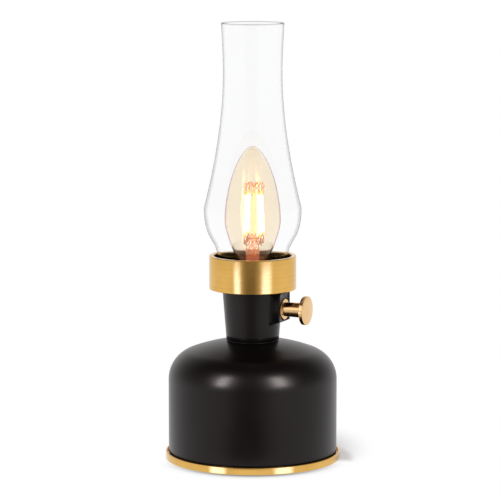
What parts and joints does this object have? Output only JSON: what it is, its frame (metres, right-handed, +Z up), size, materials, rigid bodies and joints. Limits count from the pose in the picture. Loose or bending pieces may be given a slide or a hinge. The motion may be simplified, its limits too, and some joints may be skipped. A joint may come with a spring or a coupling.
{
  "type": "lantern",
  "caption": "Battery table lantern shaped like an old oil lamp: domed body, brass gallery, dimmer knob, clear glass chimney and candle filament bulb.",
  "frame": {"origin": "on the floor, at the centre of the rubber foot ring", "axes": "+Z up along the lamp's axis, +X along the dimmer knob's axis and away from the lamp, +Y completes the right-handed frame"},
  "size_m": [0.11, 0.11, 0.2743],
  "materials": {
    "satin_brass": "spun brass with fine turning lines, lacquered",
    "polished_brass": "turned brass, polished",
    "black_enamel": "smooth satin black enamel on metal",
    "black_plastic": "fine grained black moulding",
    "black_rubber": "soft matt rubber",
    "plated_steel": "nickel plated",
    "clear_glass": "clear blown glass, polished rim",
    "amber_glass": "clear glass with a pale amber tint",
    "stem_glass": "pressed glass stem",
    "filament_glow": "phosphor coated filament, lit",
    "copper_wire": "bare copper wire",
    "board_green": "glass fibre board with solder mask",
    "component_black": "moulded component cases",
    "wire_sleeve": "soft insulation",
    "cell_sleeve": "plain shrink sleeve, unprinted"
  },
  "bodies": {
    "base": {"base_ring": "satin_brass", "rubber_foot": "black_rubber", "base_plate": "black_plastic", "base_screws_set": "plated_steel", "clinch_nuts": "plated_steel", "body_shell": "black_enamel", "neck_washer": "plated_steel", "neck_nut": "plated_steel", "neck": "black_enamel", "gallery_cup": "black_enamel", "gallery_ring": "satin_brass", "glass_cushion": "black_rubber", "holder_body": "black_plastic", "holder_shell": "polished_brass", "holder_contact": "plated_steel", "holder_screws": "plated_steel", "dimmer_body": "black_plastic", "dimmer_bush": "polished_brass", "dimmer_washer": "plated_steel", "dimmer_nut": "plated_steel", "driver_board": "board_green", "board_parts": "component_black", "board_screws": "plated_steel", "battery_leads": "wire_sleeve", "lamp_leads": "wire_sleeve", "dimmer_leads": "wire_sleeve", "negative_terminal": "plated_steel", "positive_terminal": "plated_steel", "bridge_front": "plated_steel", "bridge_rear": "plated_steel", "contact_spring_1": "plated_steel", "contact_spring_2": "plated_steel", "contact_spring_3": "plated_steel", "cell_1": "cell_sleeve", "cell_2": "cell_sleeve", "cell_3": "cell_sleeve"},
    "knob": {"dimmer_shaft": "plated_steel", "knob_stem": "polished_brass", "knob_disc": "polished_brass"},
    "glass": {"chimney": "clear_glass"},
    "bulb": {"bulb_cap": "plated_steel", "bulb_insulator": "component_black", "bulb_contact": "plated_steel", "bulb_glass": "amber_glass", "bulb_stem": "stem_glass", "filament_frame": "copper_wire", "filament_1": "filament_glow", "filament_2": "filament_glow", "filament_3": "filament_glow", "filament_4": "filament_glow"},
    "door": {"battery_door": "black_plastic", "door_pad": "black_rubber", "door_screw": "plated_steel"}
  },
  "joints": [
    {"name": "knob_turn", "type": "hinge", "parent": "base", "child": "knob", "pos_m": [0, 0, 0.09596], "axis": [1, 0, 0], "range_deg": [0, 300]},
    {"name": "chimney_lift", "type": "slide", "parent": "base", "child": "glass", "axis": [0, 0, 1], "range_m": [0, 0.1]},
    {"name": "bulb_unscrew", "type": "hinge", "parent": "base", "child": "bulb", "pos_m": [0, 0, 0.12], "axis": [0, 0, 1], "range_deg": [0, 1260]},
    {"name": "battery_door_swing", "type": "hinge", "parent": "base", "child": "door", "pos_m": [-0.03255, 0, 0.002], "axis": [0, 1, 0], "range_deg": [0, 100]}
  ]
}
